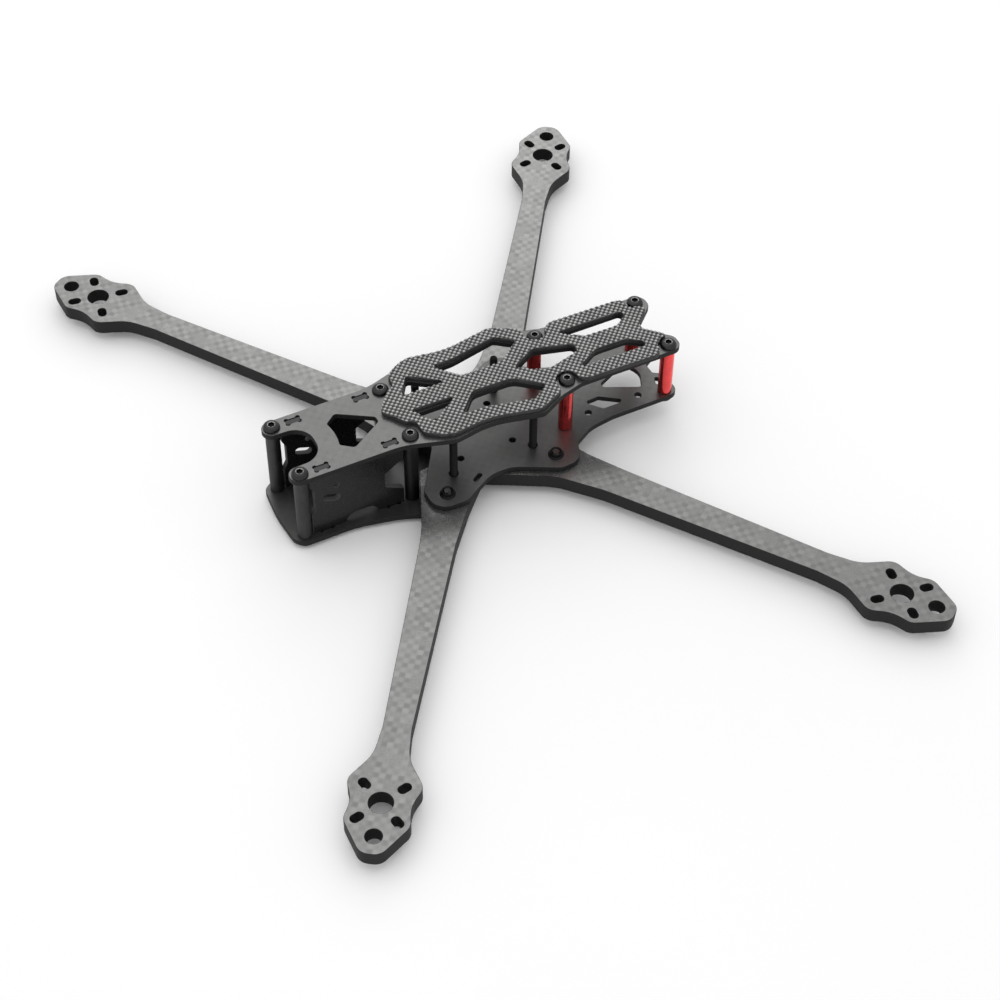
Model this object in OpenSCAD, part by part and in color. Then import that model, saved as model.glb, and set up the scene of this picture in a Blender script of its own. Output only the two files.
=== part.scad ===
// Seven-inch class racing drone frame: cut carbon plates, four bolted arms, round standoffs,
// two camera plates and a rubber battery pad. Front is -Y, the drone's left is +X, up is +Z.
// Lengths in mm. The origin is midway between the motors, level with the lowest screw heads.

/* [Arms] */
// Sideways distance from the centre to a front motor
motor_x_front = 126; // [122:0.5:130]
// Sideways distance from the centre to a rear motor
motor_x_rear = 127.2; // [123.2:0.5:131.2]
// Lengthwise distance from the centre to every motor
motor_y = 93.5; // [90.5:0.5:96.5]
// Direction of the front arms, measured from the lengthwise axis
angle_front = 55; // [54.4:0.1:55.6]
// Direction of the rear arms, measured from the lengthwise axis
angle_rear = 55.3; // [54.7:0.1:55.9]
// Thickness of the arms
arm_t = 5.5; // [5:0.5:6]
// Half width of an arm beside the motor mount
arm_half_tip = 4.6; // [4.2:0.1:5]
// Half width of an arm where it leaves the body
arm_half_root = 6.1; // [5.8:0.1:6.4]

/* [Motor mounts] */
// Diameter of the hole for the motor's shaft clip
motor_bore = 7.8; // [6:0.1:8]
// Smallest pitch circle that the motor slots reach
pitch_min = 16; // [15.5:0.5:17]
// Largest pitch circle that the motor slots reach
pitch_max = 19; // [18.5:0.5:20]
// Width of a motor slot
motor_slot_w = 3; // [2.8:0.1:3.3]
// Diameter of the round hole near the arm's tip
tip_bore = 5.4; // [4.8:0.1:5.6]
// Distance from the motor's centre to the tip hole
tip_reach = 12.1; // [11.9:0.1:12.3]

/* [Plates] */
// Thickness of the bottom plate
bottom_t = 2; // [1.5:0.5:2.5]
// Thickness of the middle plate
middle_t = 2; // [1.5:0.5:2.5]
// Thickness of the top plate
top_t = 2; // [1.5:0.5:2.5]
// Half width of the plates along their straight sides
plate_half = 15.2; // [15:0.1:15.5]
// Thickness of the rubber battery pad
pad_t = 2; // [1.5:0.1:2.2]
// Angle in degrees by which the battery pad is laid askew
pad_turn = 1.15; // [0:0.05:1.2]
// Thickness of the two camera plates
camera_t = 2; // [1.5:0.1:2]
// Side of the square bolt pattern for the flight controller
stack_wide = 30.5; // [30:0.5:31]
// Side of the square bolt patterns for small boards
stack_small = 20; // [19:0.5:21]
// Diameter of the holes for small boards
board_bore = 2.4; // [2.2:0.1:3.2]
// Lengthwise position of the rear board pattern
rear_board_y = 50; // [49.5:0.1:50.5]

/* [Standoffs] */
// Clear height between the middle plate and the top plate
gap = 20; // [18:0.5:24]
// Outside diameter of a standoff
post_d = 5; // [4.6:0.1:5]
// Sideways distance of the standoffs from the centre line
post_x = 12; // [11.9:0.1:12.1]
// Lengthwise distance of the outer standoffs
post_y_far = 69.6; // [69.4:0.1:69.8]
// Lengthwise distance of the inner standoffs
post_y_near = 29.6; // [29.6:0.1:29.8]

/* [Fasteners] */
// Shank diameter of the main screws
screw_d = 2.9; // [2.8:0.1:2.9]
// Clearance bore for the main screws
screw_bore = 3.2; // [3.1:0.1:3.3]
// Tapped bore of the standoffs and press nuts
tapped_bore = 3; // [3:0.1:3.1]
// Head diameter of the main screws
head_d = 5.8; // [5.4:0.1:5.9]
// Head height of the main screws
head_h = 1.7; // [1.6:0.1:2]
// Diameter of the stack bolts' shoulder inside the plates
shoulder_d = 3.25; // [3.25:0.01:3.28]
// Clearance bore for that shoulder
shoulder_bore = 3.3; // [3.3:0.1:3.5]
// Length of the stack bolts under the head
stack_bolt_length = 25; // [20:1:28]
// Length of the standoffs' screws under the head
screw_length = 8; // [7:1:9]
// Length of the arm bolts under the head
arm_bolt_length = 11; // [11:0.5:12]

/* [Hidden] */

$fn = 48;
cut = 1;

// Levels of the stack, from the ground up
bottom_z = head_h;
arm_z = bottom_z + bottom_t;
middle_z = arm_z + arm_t;
deck_z = middle_z + middle_t;
top_z = deck_z + gap;
pad_z = top_z + top_t;

// Finishes
carbon = [0.33, 0.33, 0.34];
dark_carbon = [0.16, 0.16, 0.16];
rubber = [0.28, 0.28, 0.28];
black_steel = [0.12, 0.12, 0.12];
grey_alloy = [0.2, 0.2, 0.21];
red_alloy = [0.75, 0.1, 0.1];

// Arm bolt holes, as distances from the centre
bolt_x = 22.8;
bolt_y_front = 21.2;
bolt_y_rear = 20.4;

// ---- Outlines -------------------------------------------------------------------------------

// Points along the arc of radius r that rounds the corner at b, between a and c
function rounded(a, b, c, r) =
    let (u = (a - b) / norm(a - b), v = (c - b) / norm(c - b))
    let (half = acos(max(-1, min(1, u * v))) / 2)
    r == 0 || half > 89.5 ? [b] :
    let (middle = b + (u + v) / norm(u + v) * r / sin(half))
    let (from = b + u * r / tan(half) - middle)
    let (turn = (u.x * v.y - u.y * v.x > 0 ? -1 : 1) * (180 - 2 * half))
    let (steps = max(2, ceil(abs(turn) / 360 * (26 + 2 * r))))
    [for (i = [0:steps]) middle + spun(from, turn * i / steps)];

// A point turned about the origin
function spun(p, angle) = [p.x * cos(angle) - p.y * sin(angle), p.x * sin(angle) + p.y * cos(angle)];

// Closed outline through [x, y, corner radius] points
function smooth(points) =
    let (n = len(points))
    [for (i = [0:n - 1])
        let (a = points[(i + n - 1) % n], b = points[i], c = points[(i + 1) % n])
        each rounded([a.x, a.y], [b.x, b.y], [c.x, c.y], b.z)];

// A half outline for +X and its mirror image; points on the centre line appear once
function both_sides(half) =
    concat(half, [for (i = [len(half) - 1:-1:0]) if (half[i].x > 0) [-half[i].x, half[i].y, half[i].z]]);

module outline(points) { polygon(smooth(points)); }

module left_and_right() {
    children();
    mirror([1, 0]) children();
}

// Round-ended slot, as long as given overall, along X
module slot(length, width) {
    r = width / 2;
    outline([[-length / 2, -r, r * 0.99], [length / 2, -r, r * 0.99],
             [length / 2, r, r * 0.99], [-length / 2, r, r * 0.99]]);
}

// Dog-bone slot that a camera plate's tab fills, along Y
tab_y = [-61.9, -37.1];
tab_length = 4.9;
tab_inset = 0.2;
module tab_slots() {
    for (side = [-1, 1], y = tab_y) translate([side * post_x, y]) {
        square([camera_t + 0.1, tab_length + 0.1], center = true);
        for (i = [-1, 1], j = [-1, 1])
            translate([i * (camera_t / 2 - 0.1), j * (tab_length / 2 - 0.4)]) circle(d = 1.4);
    }
}

module post_holes(ys) {
    for (side = [-1, 1], y = ys) translate([side * post_x, y]) circle(d = screw_bore);
}

module square_pattern(side, y, bore) {
    for (i = [-1, 1], j = [-1, 1]) translate([i * side / 2, y + j * side / 2]) circle(d = bore);
}

module arm_bolt_holes() {
    for (side = [-1, 1]) {
        translate([side * bolt_x, -bolt_y_front]) circle(d = screw_bore);
        translate([side * bolt_x, bolt_y_rear]) circle(d = screw_bore);
    }
    square_pattern(stack_wide, 0, shoulder_bore);
}

// ---- Arms -----------------------------------------------------------------------------------

function motor(front) = [front ? motor_x_front : motor_x_rear, motor_y];
function angle(front) = front ? angle_front : angle_rear;

// A point given along the arm from the motor outward, and across it towards the body's waist
function on_arm(front, along, across) =
    motor(front) + along * [sin(angle(front)), cos(angle(front))]
    + across * [cos(angle(front)), -sin(angle(front))];

function arm_point(front, along, across, r) =
    let (p = on_arm(front, along, across)) [p.x, p.y, r];

// One edge of the motor pad, from the arm to the tip; side is 1 for the waist side
function pad_edge(front, side) = [
    arm_point(front, -28, side * arm_half_tip, 12),
    arm_point(front, -17.2, side * (arm_half_tip + 1), 14),
    arm_point(front, -7.2, side * 12.1, 4.6),
    arm_point(front, 0.3, side * 9.1, 12),
    arm_point(front, 7.2, side * 10.5, 4.5),
    arm_point(front, 18.4, side * 3.2, 4.6)
];

// Outline of an arm in the +X +Y quarter. The roots are notched beside the centre line. They meet
// on it and along a slanted seam, where the rear arms reach past the middle and the front arms
// stop short.
root_gap = 0.15;
seam = [18.4, 5.6];
function arm_outline(front) =
    let (waist = pad_edge(front, 1), outer = pad_edge(front, -1), n = len(outer) - 1)
    concat(
        waist,
        [for (i = [n:-1:0]) outer[i]],
        [arm_point(front, -104, -arm_half_root + 0.2, 40)],
        front ? [[31, 35, 8], [7.2, 24.4, 1.5]] : [[26.2, 31.5, 8], [7.2, 22.6, 1.5]],
        [[7, 17.4, 1], [root_gap, 16.8, 1], [root_gap, root_gap, 0]],
        front ? [[seam.x, seam.y + root_gap, 1], [29.6, 16.6, 30]]
              : [[seam.x, root_gap - seam.y, 0.4], [30.4, 16.2, 25]],
        [arm_point(front, -106, arm_half_root, 40)]
    );

module motor_mount() {
    circle(d = motor_bore);
    translate([0, tip_reach]) circle(d = tip_bore);
    for (turn = [45:90:315]) rotate(turn) translate([(pitch_min + pitch_max) / 4, 0])
        slot((pitch_max - pitch_min) / 2 + motor_slot_w, motor_slot_w);
}

// side is 1 for left, -1 for right
module arm(side, front) {
    mirror([side < 0 ? 1 : 0, 0, 0]) mirror([0, front ? 1 : 0, 0])
    translate([0, 0, arm_z]) linear_extrude(arm_t) difference() {
        outline(arm_outline(front));
        translate(motor(front)) rotate(-angle(front)) motor_mount();
        translate([bolt_x, front ? bolt_y_front : bolt_y_rear]) circle(d = screw_bore);
        translate([stack_wide / 2, stack_wide / 2]) circle(d = shoulder_bore);
        translate([stack_small / 2, stack_small / 2]) circle(d = board_bore);
    }
}

// ---- Plates ---------------------------------------------------------------------------------

nose_y = 73.2;
tail_y = 73.8;

bottom_half = [
    [0, -75.1, 60], [13.3, -73.9, 4], [plate_half + 0.5, -70.4, 4], [plate_half + 0.4, -52, 40],
    [18.9, -36.4, 30], [22.4, -28.8, 2], [28.2, -27.6, 5], [28.2, -17, 5], [16, -6, 6],
    [16, -1, 6], [28, 18, 6], [27.8, 25.6, 5], [19, 26.4, 4], [14, 25, 4]
];

module bottom_outline() {
    difference() {
        outline(both_sides(bottom_half));
        post_holes([-post_y_far, -post_y_near]);
        arm_bolt_holes();
        tab_slots();
        square_pattern(stack_small, 0, board_bore);
    }
}

middle_half = [
    [0, -16.2, 3], [18.2, -28, 3], [28.5, -27.9, 6], [28.7, -16.4, 6], [21.5, -4, 12], [21.4, 4, 12],
    [29.5, 19.4, 4], [29, 27, 6], [21.2, 29.8, 3], [16.6, 37.5, 14], [plate_half, 47, 24],
    [plate_half, tail_y, 3.6], [4.6, tail_y, 1.4], [2.2, 70.2, 1]
];

module middle_plate_windows() {
    outline(both_sides([[0, 49, 1.4], [6.9, 63.2, 1.2], [0, 66.4, 6]]));
    left_and_right() {
        outline([[4.8, 41.2, 0.8], [4.5, 47, 1], [9.5, 54, 0.7], [10.4, 52.2, 0.8], [10.4, 45.8, 1.5]]);
        translate([6.7, 69.7]) rotate(-18) slot(3.4, 1.5);
        translate([20.6, -8.7]) rotate(-57) slot(4.2, 1.6);
    }
}

top_half = [
    [7.9, -59.1, 7], [8.3, -nose_y, 3.4], [plate_half, -nose_y, 3.5], [plate_half, -33.5, 30],
    [20.6, -16.2, 7], [18.2, -2.5, 30], [22.5, 15.8, 4], [17.6, 25.2, 8], [plate_half, 34, 12],
    [plate_half, tail_y, 3.6], [8.9, tail_y, 3.6], [1.5, 65.8, 2]
];

pad_pivot_y = 27.5;
head_clearance = 0.4;
pad_half = [
    [0, -34.5, 2.5], [8.2, -28.4, 1.5], [8.8, -25.5, 2.6], [15, -25.3, 2.5], [18.6, -20.2, 10],
    [20, -16, 6], [18, -2.5, 30], [21.8, 15.9, 4.5], [16.7, 25.5, 2], [9, 25.5, 3.8],
    [9, 33.4, 3.2], [13.4, 33.5, 2], [15.3, 36.8, 3], [15.3, 65, 3], [9.6, 65.6, 2.6],
    [9.3, 70.2, 1.6], [6.6, 70.2, 1.4], [1.3, 64.7, 1.5]
];

// Weight-saving cuts shared by the battery pad and the top plate under it
module battery_windows() {
    outline(both_sides([[0.6, 16.2, 0.5], [5.8, 25.4, 3], [1.9, 39.2, 1.5]]));
    left_and_right() {
        outline([[3.7, -25.2, 0.8], [3.7, -8, 0.8], [12.1, -19.9, 1.2]]);
        outline([[11.8, -9.2, 0.8], [4.2, -2.4, 4], [4.3, 12.6, 6], [11.9, 22, 0.9],
                 [16.8, 15.6, 1.2], [13, -2, 20], [12.9, -8.9, 0.7]]);
        outline([[9.6, 35.4, 0.8], [3.7, 45, 5], [3.7, 57.4, 5], [7.2, 62.1, 1.5], [9.6, 62.1, 1.2]]);
    }
}

module bottom_plate() {
    color(dark_carbon) translate([0, 0, bottom_z]) linear_extrude(bottom_t) bottom_outline();
}

module middle_plate() {
    color(dark_carbon) translate([0, 0, middle_z]) linear_extrude(middle_t) difference() {
        outline(both_sides(middle_half));
        post_holes([post_y_near, post_y_far]);
        arm_bolt_holes();
        square_pattern(stack_small, 0, board_bore);
        square_pattern(stack_small, rear_board_y, board_bore);
        middle_plate_windows();
    }
}

module top_plate() {
    color(carbon) translate([0, 0, top_z]) linear_extrude(top_t) difference() {
        outline(both_sides(top_half));
        post_holes([-post_y_far, -post_y_near, post_y_near, post_y_far]);
        tab_slots();
        outline(both_sides([[0, -51.2, 20], [5.4, -52.3, 0.9], [8.6, -48.2, 1.4], [1.2, -36.4, 1.3]]));
        battery_windows();
    }
}

// The pad is stuck down slightly askew: it is turned about a point on the centre line
module laid_askew() {
    translate([0, pad_pivot_y]) rotate(-pad_turn) translate([0, -pad_pivot_y]) children();
}

module battery_pad() {
    color(rubber) translate([0, 0, pad_z]) linear_extrude(pad_t) difference() {
        laid_askew() outline(both_sides(pad_half));
        laid_askew() battery_windows();
        for (side = [-1, 1], y = [-post_y_near, post_y_far])
            translate([side * post_x, y]) circle(d = head_d + head_clearance);
    }
}

// ---- Camera plates --------------------------------------------------------------------------

// Side view of a camera plate, as distances along Y and heights above the bottom plate
cage_h = arm_t + middle_t + gap;
cage_front = -66.9;
cage_rear = -32.9;
camera_hole_z = 19.7;
camera_bore = 2.1;
camera_profile = concat(
    [[cage_front, 0, 0], [cage_front, 8.7, 1], [-65.5, 11.3, 1], [-65.5, 19.5, 1],
     [cage_front, 22.3, 1], [cage_front, cage_h, 0]],
    tab(tab_y[0], 1, cage_h, cage_h + top_t - tab_inset),
    tab(tab_y[1], 1, cage_h, cage_h + top_t - tab_inset),
    [[cage_rear, cage_h, 0], [cage_rear, 20.9, 1], [-39.8, 16.4, 1], [-39.8, 10.1, 1],
     [cage_rear, 6.7, 1], [cage_rear, 0, 0]],
    tab(tab_y[1], -1, 0, tab_inset - bottom_t),
    [[-42, 0, 0], [-45, 3.4, 3], [-52.5, 3.4, 3], [-55.5, 0, 0]],
    tab(tab_y[0], -1, 0, tab_inset - bottom_t)
);

// Corners of a tab that stands on the level base and ends at the level tip
function tab(y, way, base, tip) =
    let (a = y - way * tab_length / 2, b = y + way * tab_length / 2)
    [[a, base, 0], [a, tip, 0], [b, tip, 0], [b, base, 0]];

module camera_plate(side) {
    color(dark_carbon)
    translate([side * post_x - camera_t / 2, 0, arm_z])
    rotate([90, 0, 90]) linear_extrude(camera_t) difference() {
        outline(camera_profile);
        translate([-59.4, 14.5]) rotate(-20) slot(6.2, 2.8);
        translate([-57.4, camera_hole_z]) circle(d = camera_bore);
    }
}

// ---- Standoffs ------------------------------------------------------------------------------

module standoff(side, y, z, length) {
    translate([side * post_x, y, z]) difference() {
        cylinder(d = post_d, h = length);
        translate([0, 0, -cut]) cylinder(d = tapped_bore, h = length + 2 * cut);
    }
}

module tall_standoff(side, y) {
    color(grey_alloy) standoff(side, y, arm_z, cage_h);
}

module red_standoff(side, y) {
    color(red_alloy) standoff(side, y, deck_z, gap);
}

// ---- Fasteners ------------------------------------------------------------------------------

socket_flats = 2;

// Button head screw standing on its head's underside; the shank runs down. The head has a
// straight brim, a quarter-round shoulder, a flat crown and a hex socket.
module button_screw(length) {
    crown = head_d * 0.3;
    brim = head_h * 0.2;
    socket_floor = head_h * 0.35;
    difference() {
        rotate_extrude() polygon(concat(
            [[0, 0], [head_d / 2, 0]],
            [for (turn = [0:15:90]) [crown + (head_d / 2 - crown) * cos(turn),
                                     brim + (head_h - brim) * sin(turn)]],
            [[0, head_h]]));
        translate([0, 0, socket_floor]) cylinder(d = socket_flats / cos(30), h = head_h, $fn = 6);
    }
    translate([0, 0, -length]) cylinder(d = screw_d, h = length + 0.2);
}

module top_screws(ys) {
    color(black_steel) for (side = [-1, 1], y = ys)
        translate([side * post_x, y, pad_z]) button_screw(screw_length);
}

module lower_screws(ys, z) {
    color(black_steel) for (side = [-1, 1], y = ys)
        translate([side * post_x, y, z]) mirror([0, 0, 1]) button_screw(screw_length);
}

module arm_bolt(side, front) {
    color(black_steel)
    translate([side * bolt_x, front ? -bolt_y_front : bolt_y_rear, bottom_z])
        mirror([0, 0, 1]) button_screw(arm_bolt_length);
}

// Press nut on the deck: a low round collar over the arm bolt's hole
nut_h = 1.5;
nut_flange_h = 0.6;
module press_nut(side, front) {
    color(black_steel)
    translate([side * bolt_x, front ? -bolt_y_front : bolt_y_rear, deck_z]) difference() {
        union() {
            cylinder(d = 5.6, h = nut_flange_h);
            cylinder(d = 4.4, h = nut_h);
        }
        translate([0, 0, -cut]) cylinder(d = tapped_bore, h = nut_h + 2 * cut);
    }
}

module stack_bolt(side, end) {
    color(black_steel)
    translate([side * stack_wide / 2, end * stack_wide / 2, bottom_z]) {
        mirror([0, 0, 1]) button_screw(stack_bolt_length);
        cylinder(d = shoulder_d, h = deck_z - bottom_z);
    }
}

// ---- Nodes ----------------------------------------------------------------------------------

bottom_plate();
middle_plate();
top_plate();
battery_pad();
color(carbon) arm(1, true);  // arm_front_left
color(carbon) arm(-1, true);  // arm_front_right
color(carbon) arm(1, false);  // arm_rear_left
color(carbon) arm(-1, false);  // arm_rear_right
camera_plate(1);  // camera_plate_left
camera_plate(-1);  // camera_plate_right
tall_standoff(1, -post_y_far);  // standoff_nose_left
tall_standoff(-1, -post_y_far);  // standoff_nose_right
tall_standoff(1, -post_y_near);  // standoff_shoulder_left
tall_standoff(-1, -post_y_near);  // standoff_shoulder_right
red_standoff(1, post_y_near);  // standoff_waist_left
red_standoff(-1, post_y_near);  // standoff_waist_right
red_standoff(1, post_y_far);  // standoff_tail_left
red_standoff(-1, post_y_far);  // standoff_tail_right
top_screws([-post_y_far, -post_y_near]);  // top_screws_front
top_screws([post_y_near, post_y_far]);  // top_screws_rear
lower_screws([-post_y_far, -post_y_near], bottom_z);  // lower_screws_front
lower_screws([post_y_near, post_y_far], middle_z);  // lower_screws_rear
arm_bolt(1, true);  // arm_bolt_front_left
arm_bolt(-1, true);  // arm_bolt_front_right
arm_bolt(1, false);  // arm_bolt_rear_left
arm_bolt(-1, false);  // arm_bolt_rear_right
press_nut(1, true);  // press_nut_front_left
press_nut(-1, true);  // press_nut_front_right
press_nut(1, false);  // press_nut_rear_left
press_nut(-1, false);  // press_nut_rear_right
stack_bolt(1, -1);  // stack_bolt_front_left
stack_bolt(-1, -1);  // stack_bolt_front_right
stack_bolt(1, 1);  // stack_bolt_rear_left
stack_bolt(-1, 1);  // stack_bolt_rear_right
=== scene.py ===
"""Looks of the racing drone frame: carbon plates and arms, rubber pad, anodised posts and screws.

Every piece is rebuilt from its CAD node with eased edges, threads or woven relief, and stands in
the same place. Lengths are metres in the part's own frame: front is -Y, left is +X, up is +Z.
"""

import math

import bmesh
import bpy
from mathutils import Matrix, Vector


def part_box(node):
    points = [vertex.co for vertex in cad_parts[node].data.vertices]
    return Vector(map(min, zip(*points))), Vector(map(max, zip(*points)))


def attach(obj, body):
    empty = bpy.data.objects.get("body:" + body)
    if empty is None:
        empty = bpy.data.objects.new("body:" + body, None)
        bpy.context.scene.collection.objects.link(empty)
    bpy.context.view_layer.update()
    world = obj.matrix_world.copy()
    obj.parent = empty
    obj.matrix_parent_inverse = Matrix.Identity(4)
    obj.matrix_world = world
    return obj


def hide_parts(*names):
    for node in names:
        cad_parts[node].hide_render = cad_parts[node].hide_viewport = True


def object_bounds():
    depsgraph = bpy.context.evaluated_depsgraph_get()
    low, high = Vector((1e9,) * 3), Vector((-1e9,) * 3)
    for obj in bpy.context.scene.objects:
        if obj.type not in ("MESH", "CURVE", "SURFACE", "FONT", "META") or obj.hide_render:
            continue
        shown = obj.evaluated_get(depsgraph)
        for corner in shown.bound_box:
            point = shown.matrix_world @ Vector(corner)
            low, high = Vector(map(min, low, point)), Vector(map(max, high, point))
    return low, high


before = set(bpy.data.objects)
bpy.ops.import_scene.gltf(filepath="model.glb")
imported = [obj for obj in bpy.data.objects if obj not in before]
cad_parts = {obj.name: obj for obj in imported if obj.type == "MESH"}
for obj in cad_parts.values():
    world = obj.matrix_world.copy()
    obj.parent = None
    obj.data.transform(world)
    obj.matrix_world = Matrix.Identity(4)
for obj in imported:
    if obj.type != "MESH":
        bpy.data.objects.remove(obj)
cad_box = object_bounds()

MM = 0.001
NODES = sorted(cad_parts)

# ---- Sizes ----------------------------------------------------------------------------------

WELD = 0.001 * MM            # vertices nearer than this are one
SHARP = math.radians(35)     # edges bent by more than this stay crisp
EDGE_EASE = 0.14 * MM        # sanded edge of a cut carbon plate
MITRE_LIMIT = 0.4            # keeps the eased edge short in tight corners
TOW = 1.95 * MM              # width of one carbon tow in the plain weave
LAYER = 0.25 * MM            # thickness of one carbon layer, seen at a cut edge
CELL = 1.035 * MM            # side of one cell in the pad's moulded basket relief
CELL_STEPS = 5               # grid steps across one cell
CELL_SLOPE = 1.5             # how steeply a cell rises out of its hollow
CELL_CROWN = 0.15            # how much a cell is domed, as a share of the relief
RELIEF = 0.42 * MM           # depth of the relief
CREST_GAP = 0.01 * MM        # from the relief's crests up to the top of the pad's outline
POST_CHAMFER = 0.3 * MM
KNURL = 0.5 * MM             # spacing of the knurled grooves
KNURL_DEPTH = 0.1 * MM
BORE_RADIUS = 1.5 * MM       # of the standoffs and press nuts
SOCKET_FLATS = 2.0 * MM      # hexagonal socket, across its flats
SOCKET_RIM = 1.36 * MM       # radius of the worn ring round the socket
HEAD_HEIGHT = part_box("top_screws_front")[1].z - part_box("top_plate")[1].z
HEAD_BRIM = 0.2              # straight part of a head's side, as a share of its height
SCREW_RADIUS = 1.45 * MM     # over the crests of the thread
THREAD_PITCH = 0.5 * MM
THREAD_DEPTH = 0.55 * THREAD_PITCH
NUT_COLLAR = 0.78            # width of a press nut's collar as a share of its flange
ROWS = 4                     # rings of vertices to each turn of a thread or groove of a knurl

# ---- Reading the CAD nodes ------------------------------------------------------------------


def welded(name):
    """A node's mesh with its split vertices joined, as a bmesh."""
    bm = bmesh.new()
    bm.from_mesh(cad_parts[name].data)
    bmesh.ops.remove_doubles(bm, verts=bm.verts, dist=WELD)
    return bm


def solids(name):
    """(lowest corner, highest corner) of each separate solid in a node."""
    bm = welded(name)
    waiting = set(bm.verts)
    boxes = []
    while waiting:
        island = [waiting.pop()]
        for vert in island:
            for edge in vert.link_edges:
                other = edge.other_vert(vert)
                if other in waiting:
                    waiting.remove(other)
                    island.append(other)
        low = Vector([min(v.co[i] for v in island) for i in range(3)])
        high = Vector([max(v.co[i] for v in island) for i in range(3)])
        boxes.append((low, high))
    bm.free()
    return sorted(boxes, key=lambda b: (round(b[0].x, 4), round(b[0].y, 4)))


def middle_of(low, high, level):
    """The point on a box's vertical centre line at a level."""
    return Vector(((low.x + high.x) / 2, (low.y + high.y) / 2, level))


def arm_direction(name):
    """Angle of an arm's long axis about the vertical, from its own box."""
    low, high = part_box(name)
    outer = Vector((high.x if "left" in name else low.x, low.y if "front" in name else high.y))
    return math.atan2(outer.y, outer.x)


# ---- Building pieces ------------------------------------------------------------------------


def finished(mesh, node, materials):
    """Puts a mesh in the scene as the piece that stands for a CAD node."""
    for material in materials:
        mesh.materials.append(material)
    for polygon in mesh.polygons:
        polygon.use_smooth = True
    mesh.set_sharp_from_angle(angle=SHARP)
    piece = bpy.data.objects.new(node + "_detail", mesh)
    bpy.context.scene.collection.objects.link(piece)
    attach(piece, "root")
    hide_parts(node)
    return piece


def mesh_of(bm, name):
    """Turns a closed bmesh into a mesh with its faces pointing outwards."""
    bmesh.ops.recalc_face_normals(bm, faces=bm.faces)
    mesh = bpy.data.meshes.new(name)
    bm.to_mesh(mesh)
    bm.free()
    return mesh


def rim_of(cap):
    """The next and the previous vertex of each vertex on the open edges of some faces."""
    directed = set()
    for face in cap:
        for loop in face.loops:
            directed.add((loop.vert.index, loop.link_loop_next.vert.index))
    rim = [(a, b) for a, b in directed if (b, a) not in directed]
    return dict(rim), {b: a for a, b in rim}


def inward(point, before, after, ease):
    """How far a rim point moves to ease the edge by the same width on both sides of it."""
    arriving = (point - before).normalized()
    leaving = (after - point).normalized()
    arriving, leaving = Vector((-arriving.y, arriving.x)), Vector((-leaving.y, leaving.x))
    bisector = (arriving + leaving).normalized()
    return bisector * ease / max(MITRE_LIMIT, bisector.dot(arriving))


def eased_prism(name, axis, ease):
    """A flat cut part with both rims eased. Its caps are material 0 and its walls material 1."""
    bm = welded(name)
    across = [i for i in range(3) if i != axis]
    low = min(v.co[axis] for v in bm.verts)
    high = max(v.co[axis] for v in bm.verts)
    cap = [f for f in bm.faces if all(abs(v.co[axis] - high) < WELD for v in f.verts)]
    after, before = rim_of(cap)
    flat = {v.index: Vector([v.co[i] for i in across]) for f in cap for v in f.verts}

    vertices = []
    place = {}
    for index, point in flat.items():
        levels = [("low cap", point, low), ("high cap", point, high)]
        if index in after:
            eased = point + inward(point, flat[before[index]], flat[after[index]], ease)
            levels = [("low cap", eased, low), ("low", point, low + ease),
                      ("high", point, high - ease), ("high cap", eased, high)]
        for key, spot, level in levels:
            corner = [0, 0, 0]
            corner[axis] = level
            corner[across[0]] = spot.x
            corner[across[1]] = spot.y
            place[key, index] = len(vertices)
            vertices.append(corner)

    faces = []
    kinds = []
    for face in cap:
        around = [v.index for v in face.verts]
        faces.append([place["high cap", i] for i in around])
        faces.append([place["low cap", i] for i in reversed(around)])
        kinds += [0, 0]
    for a, b in after.items():
        for under, over in (("low cap", "low"), ("low", "high"), ("high", "high cap")):
            faces.append([place[under, a], place[under, b], place[over, b], place[over, a]])
            kinds.append(1)
    bm.free()
    mesh = bpy.data.meshes.new(name + "_detail")
    mesh.from_pydata(vertices, [], faces)
    mesh.polygons.foreach_set("material_index", kinds)
    return mesh


def hexagon(flats):
    """Radius of a hexagonal hole as a function of the angle, by its width across flats."""
    return lambda angle: flats / 2 / math.cos((angle + math.pi / 6) % (math.pi / 3) - math.pi / 6)


def turned(bm, rings, at, way=1, segments=48):
    """Joins rings of (radius or function, height, material) round a vertical axis at a point.

    way is -1 to build downwards. A radius of zero closes the surface on the axis.
    """
    previous = None
    for radius, height, material in rings:
        level = at.z + way * height
        if radius == 0:
            ring = [bm.verts.new((at.x, at.y, level))] * segments
        else:
            ring = []
            for step in range(segments):
                angle = 2 * math.pi * step / segments
                reach = radius(angle) if callable(radius) else radius
                spot = (at.x + reach * math.cos(angle), at.y + reach * math.sin(angle), level)
                ring.append(bm.verts.new(spot))
        if previous:
            for step in range(segments):
                following = (step + 1) % segments
                corners = [previous[step], previous[following], ring[following], ring[step]]
                corners = list(dict.fromkeys(corners))
                if way < 0:
                    corners.reverse()
                if len(corners) > 2:
                    bm.faces.new(corners).material_index = material
        previous = ring


def screw_thread(bm, at, length, way=1, tip=0):
    """A right-handed thread up or down from a point. Its chamfered tip is material tip."""
    rows = round(length / THREAD_PITCH * ROWS)
    rings = []
    for row in range(rows + 1):
        height = length * row / rows

        def reach(angle, height=height):
            turn = height / THREAD_PITCH - way * angle / (2 * math.pi)
            ridge = abs(2 * (turn % 1) - 1)
            taper = max(0, 1 - (length - height) / THREAD_PITCH)
            return SCREW_RADIUS - THREAD_DEPTH * (1 - ridge) - THREAD_DEPTH * taper * ridge
        rings.append((reach, height, tip if height > length - THREAD_PITCH else 0))
    rings.append((0, length, tip))
    turned(bm, rings, at, way, segments=20)


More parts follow.
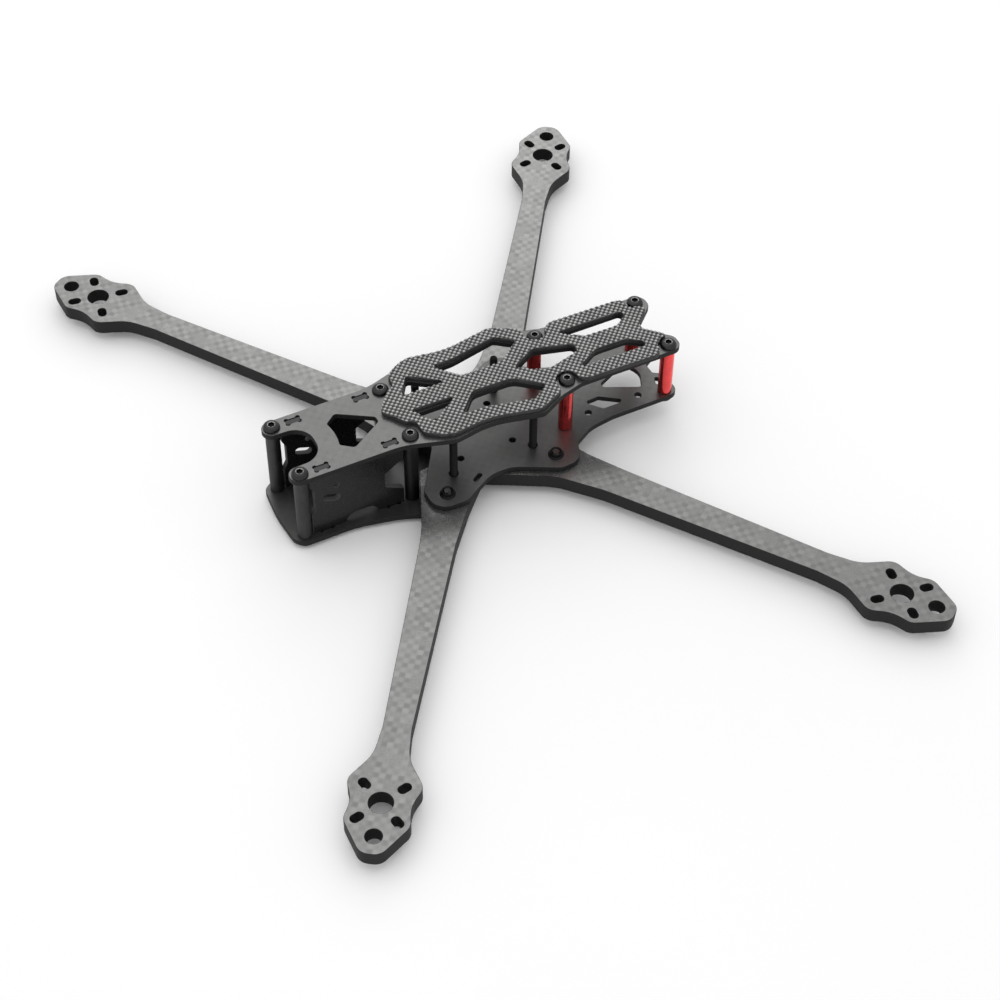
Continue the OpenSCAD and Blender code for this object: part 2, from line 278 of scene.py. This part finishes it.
def button_head(bm, at, radius, way=1):
    """A domed screw head from its underside up. Its worn ring is material 1, its socket 2."""
    brim = HEAD_HEIGHT * HEAD_BRIM
    dome = HEAD_HEIGHT - brim
    rings = [(0, 0, 0), (radius * 0.97, 0, 0), (radius, HEAD_HEIGHT * 0.06, 0), (radius, brim, 0)]
    for step in range(1, 9):
        angle = math.radians(11 * step)
        reach = SOCKET_RIM + (radius - SOCKET_RIM) * math.cos(angle)
        rings.append((reach, brim + dome * math.sin(angle), 0))
    rings += [(SOCKET_RIM, HEAD_HEIGHT, 0),
              (SOCKET_RIM * 0.96, HEAD_HEIGHT, 1),
              (hexagon(SOCKET_FLATS * 1.06), HEAD_HEIGHT * 0.93, 1),
              (hexagon(SOCKET_FLATS), HEAD_HEIGHT * 0.86, 2),
              (hexagon(SOCKET_FLATS), HEAD_HEIGHT * 0.36, 2),
              (SOCKET_FLATS * 0.3, HEAD_HEIGHT * 0.26, 2),
              (0, HEAD_HEIGHT * 0.22, 2)]
    turned(bm, rings, at, way)


# ---- Shader nodes ---------------------------------------------------------------------------


def new_material(name, colour, roughness, metallic=0.0, specular=0.5):
    """A principled material, with its node tree and shader."""
    material = bpy.data.materials.new(name)
    material.use_nodes = True
    tree = material.node_tree
    shader = tree.nodes["Principled BSDF"]
    shader.inputs["Base Color"].default_value = (*colour, 1)
    shader.inputs["Roughness"].default_value = roughness
    shader.inputs["Metallic"].default_value = metallic
    shader.inputs["Specular IOR Level"].default_value = specular
    material.diffuse_color = (*colour, 1)
    return material, tree, shader


def shader_node(tree, kind, **settings):
    """A new shader node with its settings."""
    made = tree.nodes.new("ShaderNode" + kind)
    for key, value in settings.items():
        setattr(made, key, value)
    return made


def math_node(tree, operation, *values):
    """The result of an operation on sockets or numbers."""
    made = shader_node(tree, "Math", operation=operation)
    for socket, value in zip(made.inputs, values):
        if isinstance(value, (int, float)):
            socket.default_value = value
        else:
            tree.links.new(value, socket)
    return made.outputs[0]


def blend(tree, *parts):
    """The sum of (value, weight) pairs."""
    total = None
    for value, weight in parts:
        share = math_node(tree, "MULTIPLY", value, weight)
        total = share if total is None else math_node(tree, "ADD", total, share)
    return total


def place_on(tree, unit=1.0, turn=0.0, stretch=(1, 1, 1)):
    """The part's own coordinates, turned about the vertical and counted in a unit of length."""
    where = shader_node(tree, "TexCoord")
    mapping = shader_node(tree, "Mapping")
    mapping.inputs["Rotation"].default_value = (0, 0, turn)
    mapping.inputs["Scale"].default_value = [1 / unit * s for s in stretch]
    tree.links.new(where.outputs["Object"], mapping.inputs["Vector"])
    return mapping.outputs["Vector"]


def noise(tree, vector, detail):
    """Cloudy noise whose blots are about one unit of the vector wide."""
    made = shader_node(tree, "TexNoise")
    made.inputs["Scale"].default_value = 1.0
    made.inputs["Detail"].default_value = detail
    tree.links.new(vector, made.inputs["Vector"])
    return made.outputs["Fac"]


def ramp(tree, factor, stops):
    """A colour ramp through (position, colour) stops."""
    made = shader_node(tree, "ValToRGB")
    band = made.color_ramp
    while len(band.elements) < len(stops):
        band.elements.new(0.5)
    for element, (position, colour) in zip(band.elements, stops):
        element.position = position
        element.color = (*colour, 1)
    tree.links.new(factor, made.inputs["Fac"])
    return made.outputs["Color"]


def spread(tree, factor, low, high):
    """A value from 0 to 1 mapped between two numbers."""
    made = shader_node(tree, "MapRange")
    made.inputs["To Min"].default_value = low
    made.inputs["To Max"].default_value = high
    tree.links.new(factor, made.inputs["Value"])
    return made.outputs["Result"]


def bump(tree, shader, height, strength, distance):
    """Fine relief on a shader's surface, from a height between 0 and 1."""
    made = shader_node(tree, "Bump")
    made.inputs["Strength"].default_value = strength
    made.inputs["Distance"].default_value = distance
    tree.links.new(height, made.inputs["Height"])
    tree.links.new(made.outputs["Normal"], shader.inputs["Normal"])


def shade(grey):
    """A grey with a trace of warmth."""
    return (grey, grey, grey * 0.985)


# ---- Materials ------------------------------------------------------------------------------


def crossings(tree, turn, plane):
    """The plain weave's chessboard wave, and a random tone for each crossing of two tows."""
    split = shader_node(tree, "SeparateXYZ")
    tree.links.new(place_on(tree, TOW, turn), split.inputs[0])
    cell = shader_node(tree, "CombineXYZ")
    waves = []
    for position, axis in enumerate(plane):
        along = split.outputs[axis]
        waves.append(math_node(tree, "SINE", math_node(tree, "MULTIPLY", along, math.pi)))
        tree.links.new(math_node(tree, "FLOOR", along), cell.inputs[position])
    own = shader_node(tree, "TexWhiteNoise", noise_dimensions="3D")
    tree.links.new(cell.outputs[0], own.inputs["Vector"])
    return math_node(tree, "MULTIPLY", *waves), own.outputs["Value"]


def strands(tree, turn, plane, checks):
    """Fine fibres, drawn along whichever tow lies on top."""
    fibres = shader_node(tree, "Mix")
    tree.links.new(math_node(tree, "GREATER_THAN", checks, 0.0), fibres.inputs[0])
    for position, along in enumerate(plane):
        stretch = [0.6 if axis == along else 14 for axis in "XYZ"]
        streaks = noise(tree, place_on(tree, TOW, turn, stretch), 2)
        tree.links.new(streaks, fibres.inputs[2 + position])
    return fibres.outputs[0]


def carbon_face(name, tone, turn=0.0, plane="XY", metallic=0.9, contrast=1.0, roughness=0.28,
                specular=0.5):
    """Satin carbon laminate in plain weave. turn is the direction of its tows."""
    material, tree, shader = new_material(name, shade(tone), roughness, metallic, specular)
    checks, own = crossings(tree, turn, plane)
    fibres = strands(tree, turn, plane, checks)
    cloud = noise(tree, place_on(tree, 30 * MM, turn), 3)
    mixed = blend(tree, (own, 0.35), (checks, 0.18), (fibres, 0.25), (cloud, 0.4))
    swing = 0.22 * contrast
    stops = [(0.1, shade(tone * (1 - swing))), (0.8, shade(tone * (1 + swing)))]
    tree.links.new(ramp(tree, mixed, stops), shader.inputs["Base Color"])
    sheen = spread(tree, mixed, roughness * 1.1, roughness * 0.9)
    tree.links.new(sheen, shader.inputs["Roughness"])
    relief = blend(tree, (math_node(tree, "ABSOLUTE", checks), 1.0), (fibres, 0.3))
    bump(tree, shader, relief, 0.15 * contrast, 0.02 * MM)
    return material


def cut_edge(name, tone, axis="Z"):
    """Sawn edge of a laminate: matt, nearly black, with thin layers stacked along an axis."""
    material, tree, shader = new_material(name, shade(tone), 0.6, specular=0.2)
    layers = shader_node(tree, "TexWave", bands_direction=axis)
    band = 0.314             # a wave texture's own band width, at a scale of 1
    layers.inputs["Scale"].default_value = band / LAYER
    layers.inputs["Distortion"].default_value = 1.2
    layers.inputs["Detail"].default_value = 2
    layers.inputs["Detail Scale"].default_value = 0.4
    tree.links.new(place_on(tree), layers.inputs["Vector"])
    specks = noise(tree, place_on(tree, 0.6 * MM), 4)
    mixed = blend(tree, (layers.outputs["Fac"], 0.5), (specks, 0.5))
    stops = [(0.25, shade(tone * 0.7)), (0.8, shade(tone * 1.5))]
    tree.links.new(ramp(tree, mixed, stops), shader.inputs["Base Color"])
    tree.links.new(spread(tree, specks, 0.5, 0.75), shader.inputs["Roughness"])
    bump(tree, shader, mixed, 0.3, 0.03 * MM)
    return material


def rubber(name, tone, floor_level, crest_level):
    """Moulded rubber with painted shade in its hollows and a painted highlight on its crests."""
    material, tree, shader = new_material(name, shade(tone), 0.5)
    where = shader_node(tree, "SeparateXYZ")
    tree.links.new(place_on(tree), where.inputs[0])
    height = shader_node(tree, "MapRange")
    height.inputs["From Min"].default_value = floor_level
    height.inputs["From Max"].default_value = crest_level
    tree.links.new(where.outputs["Z"], height.inputs["Value"])
    dust = noise(tree, place_on(tree, 9 * MM), 4)
    grain = noise(tree, place_on(tree, 0.12 * MM), 2)
    # the pad's height paints shade into the hollows and a highlight onto the crests; dust and grain
    # add random tone
    painted_relief_light_and_dust = blend(tree, (height.outputs["Result"], 0.75), (dust, 0.225), (grain, 0.15))
    stops = [(0.15, shade(tone * 0.02)), (0.6, shade(tone * 0.26)), (1.0, shade(tone * 1.25))]
    tree.links.new(ramp(tree, painted_relief_light_and_dust, stops), shader.inputs["Base Color"])
    tree.links.new(spread(tree, grain, 0.42, 0.62), shader.inputs["Roughness"])
    bump(tree, shader, grain, 0.25, 0.02 * MM)
    return material


def turned_metal(name, colour, roughness, metallic=1.0):
    """Metal turned on a lathe: fine rings, and tone that wanders a little."""
    material, tree, shader = new_material(name, colour, roughness, metallic)
    rings = noise(tree, place_on(tree, MM, stretch=(0.3, 0.3, 9)), 2)
    stain = noise(tree, place_on(tree, 3 * MM), 3)
    mixed = blend(tree, (rings, 0.5), (stain, 0.5))
    dark = [c * 0.8 for c in colour]
    light = [min(1, c * 1.2) for c in colour]
    tree.links.new(ramp(tree, mixed, [(0.3, dark), (0.7, light)]), shader.inputs["Base Color"])
    sheen = spread(tree, mixed, roughness * 0.8, roughness * 1.25)
    tree.links.new(sheen, shader.inputs["Roughness"])
    bump(tree, shader, rings, 0.15, 0.01 * MM)
    return material


def floor_material():
    """Plain matt white, with a wash too faint to see as a pattern."""
    material, tree, shader = new_material("studio_floor", (0.93, 0.93, 0.93), 0.7, specular=0.1)
    wash = noise(tree, place_on(tree, 0.25), 2)
    stops = [(0.3, (0.92, 0.92, 0.92)), (0.7, (0.94, 0.94, 0.94))]
    tree.links.new(ramp(tree, wash, stops), shader.inputs["Base Color"])
    return material


EDGE = cut_edge("carbon_cut_edge", 0.012)
# painted light: a lighter copy of the cut edge for the upright plates, whose edges face up to the
# lamps
PAINTED_LIT_EDGE = cut_edge("carbon_cut_edge_painted_light", 0.06, "X")
BLACK_STEEL = turned_metal("black_oxide_steel", (0.045, 0.045, 0.045), 0.36)
WORN_STEEL = turned_metal("worn_steel", (0.3, 0.3, 0.29), 0.4)
# painted shade: near-black steel for the recesses of sockets, bores and press nut mouths
SOCKET_SHADOW_STEEL = turned_metal("socket_shadow_steel", (0.02, 0.02, 0.02), 0.5)
DARK_STEEL = turned_metal("dark_fastener_steel", (0.018, 0.018, 0.018), 0.45)
TIP_STEEL = turned_metal("worn_tip_steel", (0.13, 0.13, 0.125), 0.3)
# painted shade: a darker copy of the grey alloy for the shoulder posts, which stand in the shade
# between the plates
SHADED_POST_ALLOY = turned_metal("alloy_with_painted_shade", (0.03, 0.03, 0.03), 0.4)
RED_ALLOY = turned_metal("red_anodised_alloy", (0.8, 0.08, 0.08), 0.17)
GREY_ALLOY = turned_metal("grey_anodised_alloy", (0.06, 0.06, 0.06), 0.5)
PAD_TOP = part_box("battery_pad")[1].z
PAD_RUBBER = rubber("pad_rubber", 0.4, PAD_TOP - RELIEF, PAD_TOP)

# ---- Carbon pieces --------------------------------------------------------------------------


def arms():
    """The four arms, each woven along its own length."""
    for name in NODES:
        if name.startswith("arm_") and "bolt" not in name:
            face = carbon_face(name + "_laminate", 0.225, -arm_direction(name), contrast=1.1)
            finished(eased_prism(name, 2, EDGE_EASE), name, [face, EDGE])


def clamping_plate(name, tone):
    """One of the two darker plates that clamp the arms."""
    face = carbon_face(name + "_laminate", tone, contrast=0.3, roughness=0.38)
    finished(eased_prism(name, 2, EDGE_EASE), name, [face, EDGE])


def top_plate():
    """The plate under the pad, with only a trace of weave."""
    face = carbon_face("top_laminate", 0.165, contrast=0.35)
    finished(eased_prism("top_plate", 2, EDGE_EASE), "top_plate", [face, EDGE])


def camera_plates():
    """The two upright plates, in a darker and less shiny laminate that paints shade on them."""
    for name in ("camera_plate_left", "camera_plate_right"):
        # painted shade: a near-black copy of the carbon laminate for the upright faces, which catch
        # less of the overhead light
        face = carbon_face(name + "_laminate", 0.008, plane="YZ", metallic=0.0, contrast=0.5,
                           specular=0.25)
        finished(eased_prism(name, 0, EDGE_EASE), name, [face, PAINTED_LIT_EDGE])


# ---- Pad ------------------------------------------------------------------------------------


def relief_depth(x, y):
    """How far the pad's top lies below its raised cells, which alternate like a chessboard."""
    board = math.sin(math.pi * x / CELL) * math.sin(math.pi * y / CELL)
    raised = min(1.0, max(0.0, 0.5 + CELL_SLOPE * board))
    crown = CELL_CROWN * (1 - abs(board)) ** 2
    return RELIEF * (1 - raised * (1 - crown))


def relief_block(low, high):
    """A block a little larger than a box, with the basket relief on top."""
    step = CELL / CELL_STEPS
    columns = math.ceil((high.x - low.x) / step) + 3
    rows = math.ceil((high.y - low.y) / step) + 3
    crest = high.z - CREST_GAP
    bm = bmesh.new()
    top = []
    for i in range(columns):
        for j in range(rows):
            x = low.x + (i - 1) * step
            y = low.y + (j - 1) * step
            top.append(bm.verts.new((x, y, crest - relief_depth(x, y))))
    for i in range(columns - 1):
        for j in range(rows - 1):
            a = i * rows + j
            bm.faces.new((top[a], top[a + rows], top[a + rows + 1], top[a + 1]))
    rim = [e for e in bm.edges if e.is_boundary]
    skirt = bmesh.ops.extrude_edge_only(bm, edges=rim)["geom"]
    for part in skirt:
        if isinstance(part, bmesh.types.BMVert):
            part.co.z = low.z - MM
    bmesh.ops.edgeloop_fill(bm, edges=[e for e in bm.edges if e.is_boundary])
    return mesh_of(bm, "relief")


def common_part(block_mesh, cutter_mesh):
    """What two closed meshes have in common, as a mesh."""
    block = bpy.data.objects.new("block", block_mesh)
    cutter = bpy.data.objects.new("cutter", cutter_mesh)
    for thing in (cutter, block):
        bpy.context.scene.collection.objects.link(thing)
    trim = block.modifiers.new("trim", "BOOLEAN")
    trim.operation = "INTERSECT"
    trim.solver = "MANIFOLD"
    trim.object = cutter
    shaped = block.evaluated_get(bpy.context.evaluated_depsgraph_get())
    mesh = bpy.data.meshes.new_from_object(shaped)
    for thing in (cutter, block):
        bpy.data.objects.remove(thing)
    mesh.materials.clear()
    return mesh


def battery_pad():
    """The rubber pad: its CAD outline, cut out of a block with a basket relief on top."""
    outline = welded("battery_pad")
    prism = bpy.data.meshes.new("pad_outline")
    outline.to_mesh(prism)
    outline.free()
    mesh = common_part(relief_block(*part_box("battery_pad")), prism)
    piece = finished(mesh, "battery_pad", [PAD_RUBBER])


# ---- Posts ----------------------------------------------------------------------------------


def knurl(radius, length, height):
    """Radius of a diamond-knurled post at a height: two crossing sets of helical grooves."""
    lead = 2 * math.pi * radius
    fade = min(1.0, (height - POST_CHAMFER) / KNURL, (length - POST_CHAMFER - height) / KNURL)
    count = round(lead / KNURL)

    def reach(angle):
        turn = angle / (2 * math.pi)
        climb = height / lead
        one = abs(2 * ((count * (turn + climb)) % 1) - 1)
        other = abs(2 * ((count * (turn - climb)) % 1) - 1)
        return radius - KNURL_DEPTH * fade * max(one, other) ** 2
    return reach


def post(name, knurled, material):
    """A round standoff, chamfered at both ends."""
    low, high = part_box(name)
    radius = (high.x - low.x) / 2
    length = high.z - low.z
    straight = length - 2 * POST_CHAMFER
    body = []
    if knurled:
        rows = round(straight / KNURL * ROWS)
        for row in range(1, rows):
            height = POST_CHAMFER + straight * row / rows
            body.append((knurl(radius, length, height), height, 0))
    rings = [(BORE_RADIUS, 0, 0), (radius - POST_CHAMFER, 0, 0), (radius, POST_CHAMFER, 0), *body,
             (radius, length - POST_CHAMFER, 0), (radius - POST_CHAMFER, length, 0),
             (BORE_RADIUS, length, 0), (BORE_RADIUS, 0, 0)]
    bm = bmesh.new()
    turned(bm, rings, middle_of(low, high, low.z), segments=132 if knurled else 64)
    bmesh.ops.remove_doubles(bm, verts=bm.verts, dist=WELD)
    finished(mesh_of(bm, name + "_detail"), name, [material])


def posts():
    """Knurled grey posts in the nose, plain ones in painted shade behind, red ones at the back."""
    for name in NODES:
        if name.startswith("standoff_nose"):
            post(name, True, GREY_ALLOY)
        elif name.startswith("standoff_shoulder"):
            post(name, False, SHADED_POST_ALLOY)
        elif name.startswith("standoff"):
            post(name, False, RED_ALLOY)


# ---- Fasteners ------------------------------------------------------------------------------


def screws():
    """The screws whose shanks are hidden in the standoffs."""
    for name in NODES:
        if "screws" not in name:
            continue
        way = 1 if name.startswith("top") else -1
        bm = bmesh.new()
        for low, high in solids(name):
            seat = high.z - HEAD_HEIGHT if way > 0 else low.z + HEAD_HEIGHT
            at = middle_of(low, high, seat)
            button_head(bm, at, (high.x - low.x) / 2, way)
            screw_thread(bm, at, high.z - low.z - HEAD_HEIGHT, -way)
        looks = [BLACK_STEEL, WORN_STEEL, SOCKET_SHADOW_STEEL]
        finished(mesh_of(bm, name + "_detail"), name, looks)


def bolts():
    """The arm bolts, worn at the tip, and the stack bolts, which rise out of the middle plate."""
    for name in NODES:
        if "bolt" not in name:
            continue
        low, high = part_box(name)
        at = middle_of(low, high, low.z + HEAD_HEIGHT)
        bm = bmesh.new()
        button_head(bm, at, (high.x - low.x) / 2, -1)
        screw_thread(bm, at, high.z - at.z, tip=1)
        worn = DARK_STEEL if name.startswith("stack") else TIP_STEEL
        looks = [DARK_STEEL, worn, SOCKET_SHADOW_STEEL]
        finished(mesh_of(bm, name + "_detail"), name, looks)


def press_nuts():
    """Low collars on a thin flange, with a chamfered mouth, one round each arm bolt."""
    for name in NODES:
        if not name.startswith("press_nut"):
            continue
        low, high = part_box(name)
        flange = (high.x - low.x) / 2
        collar = flange * NUT_COLLAR
        tall = high.z - low.z
        rings = [(BORE_RADIUS, 0, 0),
                 (flange, 0, 0),
                 (flange, tall * 0.12, 0),
                 (flange * 0.96, tall * 0.18, 0),
                 (collar * 1.02, tall * 0.3, 0),
                 (collar, tall * 0.4, 0),
                 (collar, tall * 0.85, 0),
                 (collar * 0.94, tall, 0),
                 (BORE_RADIUS * 1.2, tall, 1),
                 (BORE_RADIUS, tall * 0.85, 1),
                 (BORE_RADIUS, 0, 1)]
        bm = bmesh.new()
        turned(bm, rings, middle_of(low, high, low.z))
        bmesh.ops.remove_doubles(bm, verts=bm.verts, dist=WELD)
        looks = [DARK_STEEL, SOCKET_SHADOW_STEEL]
        finished(mesh_of(bm, name + "_detail"), name, looks)


arms()
clamping_plate("bottom_plate", 0.12)
camera_plates()
clamping_plate("middle_plate", 0.13)
top_plate()
battery_pad()
posts()
screws()
bolts()
press_nuts()

# ---- Studio ---------------------------------------------------------------------------------


def studio_floor():
    """A wide pale floor under the part's lowest point."""
    bm = bmesh.new()
    bmesh.ops.create_grid(bm, x_segments=8, y_segments=8, size=12)
    mesh = bpy.data.meshes.new("floor")
    bm.to_mesh(mesh)
    bm.free()
    mesh.materials.append(floor_material())
    floor = bpy.data.objects.new("floor", mesh)
    floor.location.z = cad_box[0][2]
    bpy.context.scene.collection.objects.link(floor)


def sky(strength):
    """Even white light from all sides."""
    world = bpy.data.worlds.new("studio")
    world.use_nodes = True
    background = world.node_tree.nodes["Background"]
    background.inputs["Color"].default_value = (1, 1, 1, 1)
    background.inputs["Strength"].default_value = strength
    bpy.context.scene.world = world


def softbox(name, place, target, size, power):
    """A rectangular lamp at a place, turned towards a target."""
    lamp = bpy.data.lights.new(name, "AREA")
    lamp.shape = "RECTANGLE"
    lamp.size, lamp.size_y = size
    lamp.energy = power
    box = bpy.data.objects.new(name, lamp)
    box.location = place
    box.rotation_euler = (target - Vector(place)).to_track_quat("-Z", "Y").to_euler()
    box.visible_camera = False
    bpy.context.scene.collection.objects.link(box)


def camera(azimuth, elevation, distance, target, roll, lens):
    """The photograph's view. The azimuth runs from the front towards the drone's left."""
    away = Vector((math.sin(azimuth) * math.cos(elevation),
                   -math.cos(azimuth) * math.cos(elevation),
                   math.sin(elevation)))
    right = Vector((0, 0, 1)).cross(away).normalized()
    up = away.cross(right)
    rolled_right = right * math.cos(roll) + up * math.sin(roll)
    rolled_up = up * math.cos(roll) - right * math.sin(roll)
    data = bpy.data.cameras.new("camera")
    data.lens = lens
    data.sensor_width = 36
    data.clip_start, data.clip_end = 0.01, 20
    eye = bpy.data.objects.new("camera", data)
    rotation = Matrix((rolled_right, rolled_up, away)).transposed().to_4x4()
    eye.matrix_world = Matrix.Translation(target + away * distance) @ rotation
    bpy.context.scene.collection.objects.link(eye)
    bpy.context.scene.camera = eye


arm_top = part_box("arm_front_left")[1].z
middle = Vector((0, 0, arm_top))

studio_floor()
sky(strength=0.9)
softbox("overhead", place=(-0.3, -0.1, 1.3), target=middle, size=(1.6, 1.6), power=4)
softbox("far_side", place=(-1.24, 0.63, 0.8), target=middle, size=(1.1, 0.6), power=2.5)
camera(azimuth=math.radians(62.76), elevation=math.radians(47.55), distance=0.7251,
       target=Vector((0.03175, -0.00581, arm_top)), roll=math.radians(0.625), lens=76.78)
bpy.context.scene.view_settings.view_transform = "Standard"
